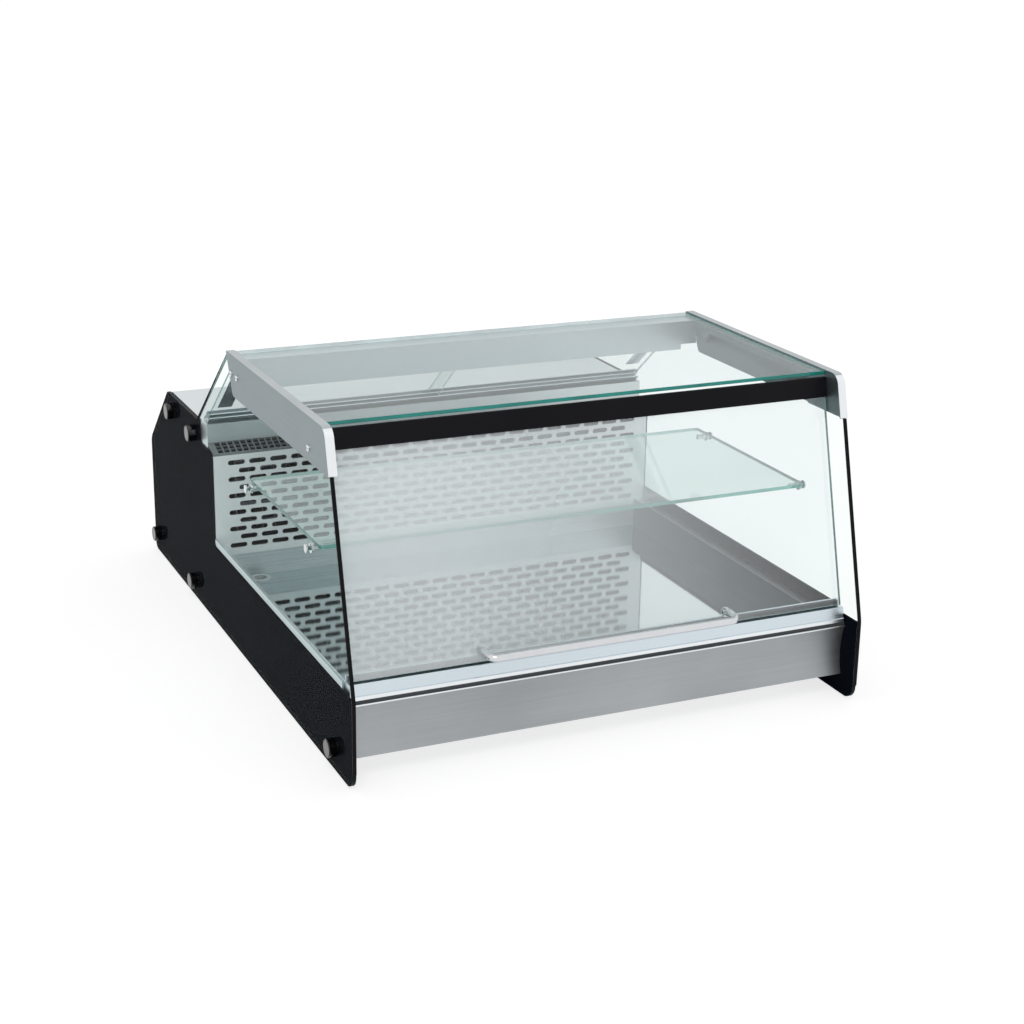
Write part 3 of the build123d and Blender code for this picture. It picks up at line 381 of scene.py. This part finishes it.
def dressFaces(name, look, chosen):
    # Gives a second finish to the faces that chosen(centre, normal) picks
    mesh = nodes[name].data
    mesh.materials.append(looks[look])
    slot = len(mesh.materials) - 1
    for poly in mesh.polygons:
        if chosen(poly.center, poly.normal):
            poly.material_index = slot


for name, look in finishOf.items():
    dressNode(name, look)
for name, (face, edge) in paneOf.items():
    dressPane(name, face, edge)

# Where one piece shows two finishes, in metres
zones = {
    "wellRear": 0.1, "wellTop": 0.11, "band": 0.123, "bandRear": 0.137,
    "noseFront": -0.395, "sillLip": 0.1185, "foamMiddle": 0.2,
}
for side in ("left", "right"):
    dressFaces(side + "_side_glass", "darkEdge",
               lambda c, n: abs(n.x) < 0.5 and (c.z < zones["band"] or c.y > zones["bandRear"]))
    # Painted light on the top frames: lighter upward faces, and a painted highlight on the front faces
    dressFaces(side + "_top_frame", "litTopAluminium", lambda c, n: n.z > 0.75)
    dressFaces(side + "_top_frame", "paintedHighlightAluminium",
               lambda c, n: n.y < -0.45 and c.y < zones["noseFront"])
dressFaces("seat_profiles", "profileBlack", lambda c, n: n.x > 0.5 or c.x > 0)
dressFaces("standoff_bolts", "darkChrome", lambda c, n: abs(n.x) < 0.9)
# Painted highlight on the top glass's rear-facing edge
dressFaces("top_glass", "backEdgeHighlight", lambda c, n: n.y > 0.5)
# Painted shade on the tub's side walls
dressFaces("well_tub", "shadedWallSteel", lambda c, n: abs(n.x) > 0.7)
dressFaces("well_tub", "rearSteel", lambda c, n: n.y < -0.7 and c.y > zones["wellRear"])
# Painted highlight along the tub's top rim
dressFaces("well_tub", "paintedHighlightAluminium", lambda c, n: n.z > 0.7 and c.z > zones["wellTop"])
dressFaces("shelf_glass", "shelfSide", lambda c, n: abs(n.x) > 0.7)
# Painted highlight on the sill's lower front nose
dressFaces("front_sill", "paintedHighlightAluminium", lambda c, n: n.y < -0.9 and c.z < zones["sillLip"])
dressFaces("insulation", "sealGrey", lambda c, n: abs(c.x) > zones["foamMiddle"])
print("frame dressed", len(finishOf) + len(paneOf))

# The printed layer stands off the pane by a hair, so that its face isn't shared with the glass
enamelSpec = {"shrink": -0.00004}
layer = nodes["side_enamel"].modifiers.new("printed layer", "DISPLACE")
layer.strength = enamelSpec["shrink"]
layer.mid_level = 0.0

# Broken edges on the folded and extruded pieces
edgeBreak = {"width": 0.0006, "angle": 35, "segments": 2}
for name in ("left_top_frame", "right_top_frame", "front_sill", "front_panel", "well_tub", "hinge_profile",
             "rear_rail", "lower_track", "housing_deck", "rear_cover", "seat_profiles", "base_tray"):
    bevel = nodes[name].modifiers.new("edge break", "BEVEL")
    bevel.width = edgeBreak["width"]
    bevel.segments = edgeBreak["segments"]
    bevel.limit_method = "ANGLE"
    bevel.angle_limit = math.radians(edgeBreak["angle"])
    bevel.harden_normals = True


def addPiece(name, verts, faces, body, look, degrees=40):
    mesh = bpy.data.meshes.new(name)
    mesh.from_pydata(verts, [], faces)
    mesh.validate()
    obj = bpy.data.objects.new(name, mesh)
    bpy.context.scene.collection.objects.link(obj)
    mesh.materials.append(looks[look])
    smoothed(obj, degrees)
    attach(obj, body)
    return obj


# Rolled hem along the top edge of the front panel, coloured bright as a painted highlight
hemSpec = {"radius": 0.0013, "sides": 12, "stepIn": 0.0004}


def addPanelHem():
    low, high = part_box("front_panel")
    verts = []
    faces = []
    sides = hemSpec["sides"]
    for x in (low[0], high[0]):
        for k in range(sides):
            turn = 2 * math.pi * k / sides
            y = low[1] + hemSpec["stepIn"] + hemSpec["radius"] * math.cos(turn)
            z = high[2] - hemSpec["radius"] + hemSpec["radius"] * math.sin(turn)
            verts.append((x, y, z))
    for k in range(sides):
        after = (k + 1) % sides
        faces.append((k, after, sides + after, sides + k))
    faces.append(tuple(range(sides))[::-1])
    faces.append(tuple(range(sides, 2 * sides)))
    hem = addPiece("panelHem", verts, faces, "case", "paintedHighlightAluminium")


addPanelHem()
print("hem on the front panel")


# Stage: pale floor, soft light
stageSpec = {
    "floorColour": 0.9, "floorSize": 60.0, "floorWhite": 1.18, "floorMix": 0.62,
    "ambient": 0.72, "seen": 1.02, "keyPower": 0.7, "keyTurn": (38, 8, -35), "keyAngle": 24,
}


def seenRays(tree):
    # One for rays that the viewer sees directly, in a reflection or through glass
    path = addNode(tree, "ShaderNodeLightPath")
    first = addNode(tree, "ShaderNodeMath", operation="ADD")
    second = addNode(tree, "ShaderNodeMath", operation="ADD", use_clamp=True)
    tree.links.new(path.outputs["Is Camera Ray"], first.inputs[0])
    tree.links.new(path.outputs["Is Glossy Ray"], first.inputs[1])
    tree.links.new(first.outputs[0], second.inputs[0])
    tree.links.new(path.outputs["Is Transmission Ray"], second.inputs[1])
    return second.outputs[0]


def buildStage():
    half = stageSpec["floorSize"] / 2
    mesh = bpy.data.meshes.new("floor")
    corners = [(-half, -half, 0), (half, -half, 0), (half, half, 0), (-half, half, 0)]
    mesh.from_pydata(corners, [], [(0, 1, 2, 3)])
    floor = bpy.data.objects.new("floor", mesh)
    bpy.context.scene.collection.objects.link(floor)
    mat, tree, out = newMaterial("floorPale")
    shader = addNode(tree, "ShaderNodeBsdfDiffuse")
    value = stageSpec["floorColour"]
    shader.inputs["Color"].default_value = (value, value, value, 1)
    white = addNode(tree, "ShaderNodeEmission", Strength=stageSpec["floorWhite"])
    amount = addNode(tree, "ShaderNodeMath", operation="MULTIPLY")
    amount.inputs[1].default_value = stageSpec["floorMix"]
    tree.links.new(seenRays(tree), amount.inputs[0])
    mix = addNode(tree, "ShaderNodeMixShader")
    tree.links.new(amount.outputs[0], mix.inputs[0])
    tree.links.new(shader.outputs[0], mix.inputs[1])
    tree.links.new(white.outputs[0], mix.inputs[2])
    tree.links.new(mix.outputs[0], out.inputs["Surface"])
    mesh.materials.append(mat)

    world = bpy.data.worlds.new("studio")
    bpy.context.scene.world = world
    world.use_nodes = True
    tree = world.node_tree
    tree.nodes.clear()
    out = tree.nodes.new("ShaderNodeOutputWorld")
    soft = addNode(tree, "ShaderNodeBackground")
    soft.inputs["Color"].default_value = (1, 1, 1, 1)
    soft.inputs["Strength"].default_value = stageSpec["ambient"]
    seen = addNode(tree, "ShaderNodeBackground")
    seen.inputs["Color"].default_value = (1, 1, 1, 1)
    seen.inputs["Strength"].default_value = stageSpec["seen"]
    mix = addNode(tree, "ShaderNodeMixShader")
    tree.links.new(seenRays(tree), mix.inputs[0])
    tree.links.new(soft.outputs[0], mix.inputs[1])
    tree.links.new(seen.outputs[0], mix.inputs[2])
    tree.links.new(mix.outputs[0], out.inputs["Surface"])

    data = bpy.data.lights.new("key", "SUN")
    data.energy = stageSpec["keyPower"]
    data.angle = math.radians(stageSpec["keyAngle"])
    key = bpy.data.objects.new("key", data)
    bpy.context.scene.collection.objects.link(key)
    key.rotation_euler = [math.radians(a) for a in stageSpec["keyTurn"]]


buildStage()
print("stage ready")

# Camera at the photograph's place
cameraSpec = {
    "place": (-1.0986, -2.5720, 1.1082), "yaw": 24.335, "pitch": 18.453, "roll": 0.903,
    "lens": 67.63, "sensor": 36.0, "near": 0.05, "far": 100.0,
}


def placeCamera():
    data = bpy.data.cameras.new("camera")
    data.sensor_width = cameraSpec["sensor"]
    data.lens = cameraSpec["lens"]
    data.clip_start = cameraSpec["near"]
    data.clip_end = cameraSpec["far"]
    camera = bpy.data.objects.new("camera", data)
    bpy.context.scene.collection.objects.link(camera)
    yaw, pitch, roll = (math.radians(cameraSpec[k]) for k in ("yaw", "pitch", "roll"))
    ahead = Vector((math.sin(yaw) * math.cos(pitch), math.cos(yaw) * math.cos(pitch), -math.sin(pitch)))
    right = Vector((math.cos(yaw), -math.sin(yaw), 0))
    up = right.cross(ahead)
    rightRolled = right * math.cos(roll) + up * math.sin(roll)
    upRolled = up * math.cos(roll) - right * math.sin(roll)
    turn = Matrix((rightRolled, upRolled, -ahead)).transposed().to_4x4()
    camera.matrix_world = Matrix.Translation(cameraSpec["place"]) @ turn
    bpy.context.scene.camera = camera


placeCamera()
scene = bpy.context.scene
scene.view_settings.view_transform = "Standard"
print("camera ready")
